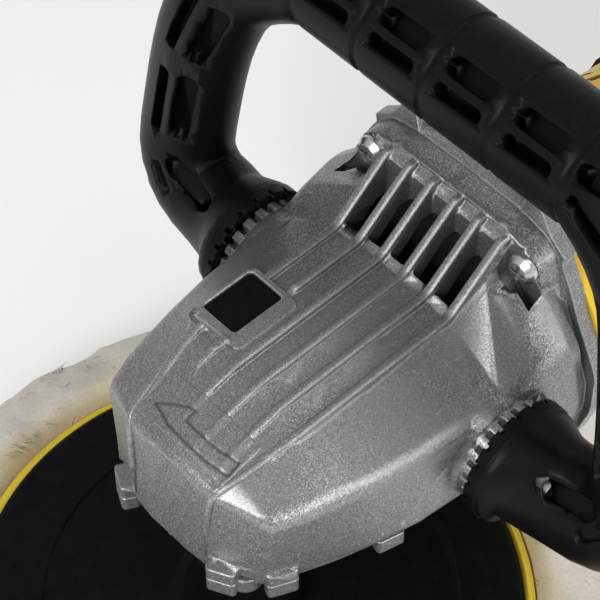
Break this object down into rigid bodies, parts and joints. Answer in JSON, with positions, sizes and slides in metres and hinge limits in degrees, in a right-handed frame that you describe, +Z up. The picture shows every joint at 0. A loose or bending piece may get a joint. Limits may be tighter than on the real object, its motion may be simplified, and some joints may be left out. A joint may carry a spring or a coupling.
{
  "type": "rotary polisher",
  "caption": "Right-angle rotary polisher with a ribbed cast gear head, a tilting loop handle, an inline trigger handle and a round wool pad.",
  "frame": {"origin": "centre of the wool pad's working face, on the spindle axis", "axes": "+Z up along the spindle, away from the work; +Y along the motor towards the cord inlet; +X across the loop handle"},
  "size_m": [0.2494, 0.4537, 0.2421],
  "materials": {
    "gear_housing": "sparkling silver paint on a rough die casting",
    "bearing_cover": "sparkling silver paint on a rough die casting",
    "cover_screws": "zinc plated steel",
    "housing_screws": "zinc plated steel",
    "lock_button": "flat black plastic",
    "lock_pin": "turned steel",
    "lock_spring": "drawn spring wire",
    "spindle": "turned steel",
    "ring_gear": "hardened gear steel with grease",
    "pinion": "hardened gear steel with grease",
    "upper_bearing": "turned steel",
    "lower_bearing": "turned steel",
    "dust_seal": "black rubber",
    "circlip": "blackened spring steel",
    "motor_housing": "yellow moulded plastic, half gloss",
    "armature_shaft": "turned steel",
    "armature_core": "lacquered laminations",
    "commutator": "varnished copper",
    "fan": "dark grey green plastic",
    "fan_baffle": "grey green plastic",
    "front_bearing": "turned steel",
    "rear_bearing": "turned steel",
    "bearing_sleeve": "black rubber",
    "stator_core": "lacquered laminations",
    "field_coils": "varnished copper",
    "brush_holders": "pressed brass",
    "carbon_brushes": "dull carbon",
    "brush_springs": "drawn spring wire",
    "brush_caps": "black moulded plastic with a fine grain",
    "handle_left": "black moulded plastic with a fine grain",
    "handle_right": "black moulded plastic with a fine grain",
    "handle_screws": "zinc plated steel",
    "trigger": "black moulded plastic with a fine grain",
    "trigger_pin": "turned steel",
    "trigger_spring": "drawn spring wire",
    "switch": "dark grey plastic",
    "lock_on_button": "black moulded plastic with a fine grain",
    "lock_on_spring": "drawn spring wire",
    "speed_dial": "black moulded plastic with a fine grain",
    "speed_controller": "green board with dark parts",
    "cord_gland": "black rubber",
    "cord_clamp": "black moulded plastic with a fine grain",
    "clamp_screws": "zinc plated steel",
    "loop_handle": "black moulded plastic with a fine grain",
    "loop_bolts": "zinc plated steel",
    "loop_washers": "zinc plated steel",
    "backing_plate": "black moulded plate",
    "plate_hub": "black moulded plastic with a fine grain",
    "hook_disc": "black hook tape",
    "pad_backing": "yellow felt backing",
    "wool_pad": "cream cut wool pile"
  },
  "bodies": {
    "housing": {"gear_housing": "gear_housing", "bearing_cover": "bearing_cover", "cover_screws": "cover_screws", "housing_screws": "housing_screws", "lock_spring": "lock_spring", "upper_bearing": "upper_bearing", "lower_bearing": "lower_bearing", "dust_seal": "dust_seal", "motor_housing": "motor_housing", "fan_baffle": "fan_baffle", "front_bearing": "front_bearing", "rear_bearing": "rear_bearing", "bearing_sleeve": "bearing_sleeve", "stator_core": "stator_core", "field_coils": "field_coils", "brush_holders": "brush_holders", "carbon_brushes": "carbon_brushes", "brush_springs": "brush_springs", "brush_caps": "brush_caps", "handle_left": "handle_left", "handle_right": "handle_right", "handle_screws": "handle_screws", "trigger_pin": "trigger_pin", "trigger_spring": "trigger_spring", "switch": "switch", "lock_on_spring": "lock_on_spring", "speed_controller": "speed_controller", "cord_gland": "cord_gland", "cord_clamp": "cord_clamp", "clamp_screws": "clamp_screws", "loop_bolts": "loop_bolts", "loop_washers": "loop_washers"},
    "lock_button": {"lock_button": "lock_button", "lock_pin": "lock_pin"},
    "spindle": {"spindle": "spindle", "ring_gear": "ring_gear", "circlip": "circlip", "backing_plate": "backing_plate", "plate_hub": "plate_hub", "hook_disc": "hook_disc", "pad_backing": "pad_backing", "wool_pad": "wool_pad"},
    "armature": {"armature_shaft": "armature_shaft", "armature_core": "armature_core", "commutator": "commutator", "fan": "fan", "pinion": "pinion"},
    "loop_handle": {"loop_handle": "loop_handle"},
    "trigger": {"trigger": "trigger"},
    "lock_on": {"lock_on_button": "lock_on_button"},
    "speed_dial": {"speed_dial": "speed_dial"}
  },
  "joints": [
    {"name": "lock_slide", "type": "slide", "parent": "housing", "child": "lock_button", "axis": [0, 0, -1], "range_m": [0, 0.004], "stiffness_N_per_m": 900, "springref_m": -0.003, "deforming": ["lock_spring"]},
    {"name": "spindle_spin", "type": "hinge", "parent": "housing", "child": "spindle", "pos_m": [0, 0, 0.121], "axis": [0, 0, 1], "continuous": true},
    {"name": "armature_spin", "type": "hinge", "parent": "housing", "child": "armature", "pos_m": [0, 0.13, 0.121], "axis": [0, 1, 0], "continuous": true},
    {"name": "loop_tilt", "type": "hinge", "parent": "housing", "child": "loop_handle", "pos_m": [0, 0.057, 0.121], "axis": [1, 0, 0], "range_deg": [-36, 18]},
    {"name": "trigger_pull", "type": "hinge", "parent": "housing", "child": "trigger", "pos_m": [0, 0.214, 0.0995], "axis": [1, 0, 0], "range_deg": [0, 6], "stiffness_Nm_per_rad": 0.9, "springref_deg": -11.46, "deforming": ["trigger_spring"]},
    {"name": "lock_on_slide", "type": "slide", "parent": "housing", "child": "lock_on", "axis": [1, 0, 0], "range_m": [0, 0.0025], "stiffness_N_per_m": 500, "springref_m": -0.003},
    {"name": "dial_turn", "type": "hinge", "parent": "housing", "child": "speed_dial", "pos_m": [0, 0.288, 0.1256], "axis": [1, 0, 0], "range_deg": [-135, 135]}
  ],
  "couplings": [
    {"joint": "armature_spin", "follows": "spindle_spin", "ratio": 4.2222}
  ]
}
